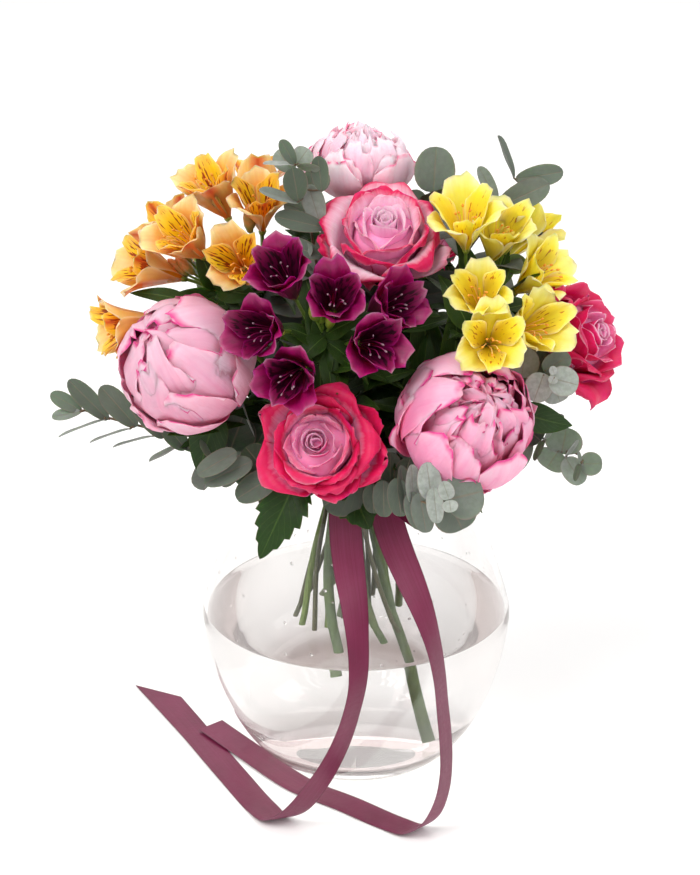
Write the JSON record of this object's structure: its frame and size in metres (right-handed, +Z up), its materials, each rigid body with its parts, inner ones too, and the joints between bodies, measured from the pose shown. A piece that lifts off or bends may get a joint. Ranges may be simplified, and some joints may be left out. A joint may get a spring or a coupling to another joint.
{
  "type": "bouquet of peonies and mixed flowers in a glass vase",
  "caption": "Hand-tied bouquet of pink peonies, roses, alstroemeria and eucalyptus, standing in a round clear glass vase with water, with a satin ribbon round the stems.",
  "frame": {"origin": "middle of the vase's flat foot, on the surface that it stands on", "axes": "+Z up, +X to the right and +Y to the back as seen from the bouquet's front, where the ribbon tails hang"},
  "size_m": [0.3567, 0.2615, 0.4274],
  "materials": {
    "vase_glass": "clear, polished",
    "vase_water": "clear liquid",
    "ribbon_satin": "satin weave, soft sheen",
    "peony_petal": "soft matt petal, magenta creases and edges",
    "rose_petal": "velvety petal, cerise edges",
    "alstroemeria_orange": "smooth petal, streaked inner tepals",
    "alstroemeria_burgundy": "smooth deep petal",
    "alstroemeria_yellow": "smooth petal, streaked inner tepals",
    "green_stem": "waxy stem and leaf",
    "green_leaf": "veined leaf, soft gloss",
    "eucalyptus_leaf": "grey-green waxy bloom"
  },
  "bodies": {
    "root": {"burgundy_floret_1": "alstroemeria_burgundy", "burgundy_floret_2": "alstroemeria_burgundy", "burgundy_floret_3": "alstroemeria_burgundy", "burgundy_floret_4": "alstroemeria_burgundy", "burgundy_floret_5": "alstroemeria_burgundy", "burgundy_floret_6": "alstroemeria_burgundy", "burgundy_stem": "green_stem", "eucalyptus_back": "eucalyptus_leaf", "eucalyptus_back_left": "eucalyptus_leaf", "eucalyptus_back_right": "eucalyptus_leaf", "eucalyptus_coins": "eucalyptus_leaf", "eucalyptus_far_right": "eucalyptus_leaf", "eucalyptus_front": "eucalyptus_leaf", "eucalyptus_left": "eucalyptus_leaf", "eucalyptus_low_left": "eucalyptus_leaf", "eucalyptus_low_right": "eucalyptus_leaf", "eucalyptus_top_left": "eucalyptus_leaf", "eucalyptus_top_right": "eucalyptus_leaf", "glass_vase": "vase_glass", "orange_left_floret_1": "alstroemeria_orange", "orange_left_floret_2": "alstroemeria_orange", "orange_left_floret_3": "alstroemeria_orange", "orange_left_floret_4": "alstroemeria_orange", "orange_left_stem": "green_stem", "orange_right_floret_1": "alstroemeria_orange", "orange_right_floret_2": "alstroemeria_orange", "orange_right_floret_3": "alstroemeria_orange", "orange_right_floret_4": "alstroemeria_orange", "orange_right_stem": "green_stem", "peony_back_bloom": "peony_petal", "peony_back_stem": "green_stem", "peony_left_bloom": "peony_petal", "peony_left_stem": "green_stem", "peony_right_bloom": "peony_petal", "peony_right_stem": "green_stem", "ribbon_band": "ribbon_satin", "ribbon_knot": "ribbon_satin", "ribbon_tail_left": "ribbon_satin", "ribbon_tail_right": "ribbon_satin", "rose_back_bloom": "rose_petal", "rose_back_stem": "green_stem", "rose_front_bloom": "rose_petal", "rose_front_stem": "green_stem", "rose_right_bloom": "rose_petal", "rose_right_stem": "green_stem", "rose_top_bloom": "rose_petal", "rose_top_stem": "green_stem", "water": "vase_water", "yellow_back_floret_1": "alstroemeria_yellow", "yellow_back_floret_2": "alstroemeria_yellow", "yellow_back_floret_3": "alstroemeria_yellow", "yellow_back_floret_4": "alstroemeria_yellow", "yellow_back_stem": "green_stem", "yellow_front_floret_1": "alstroemeria_yellow", "yellow_front_floret_2": "alstroemeria_yellow", "yellow_front_floret_3": "alstroemeria_yellow", "yellow_front_stem": "green_stem"}
  },
  "joints": []
}
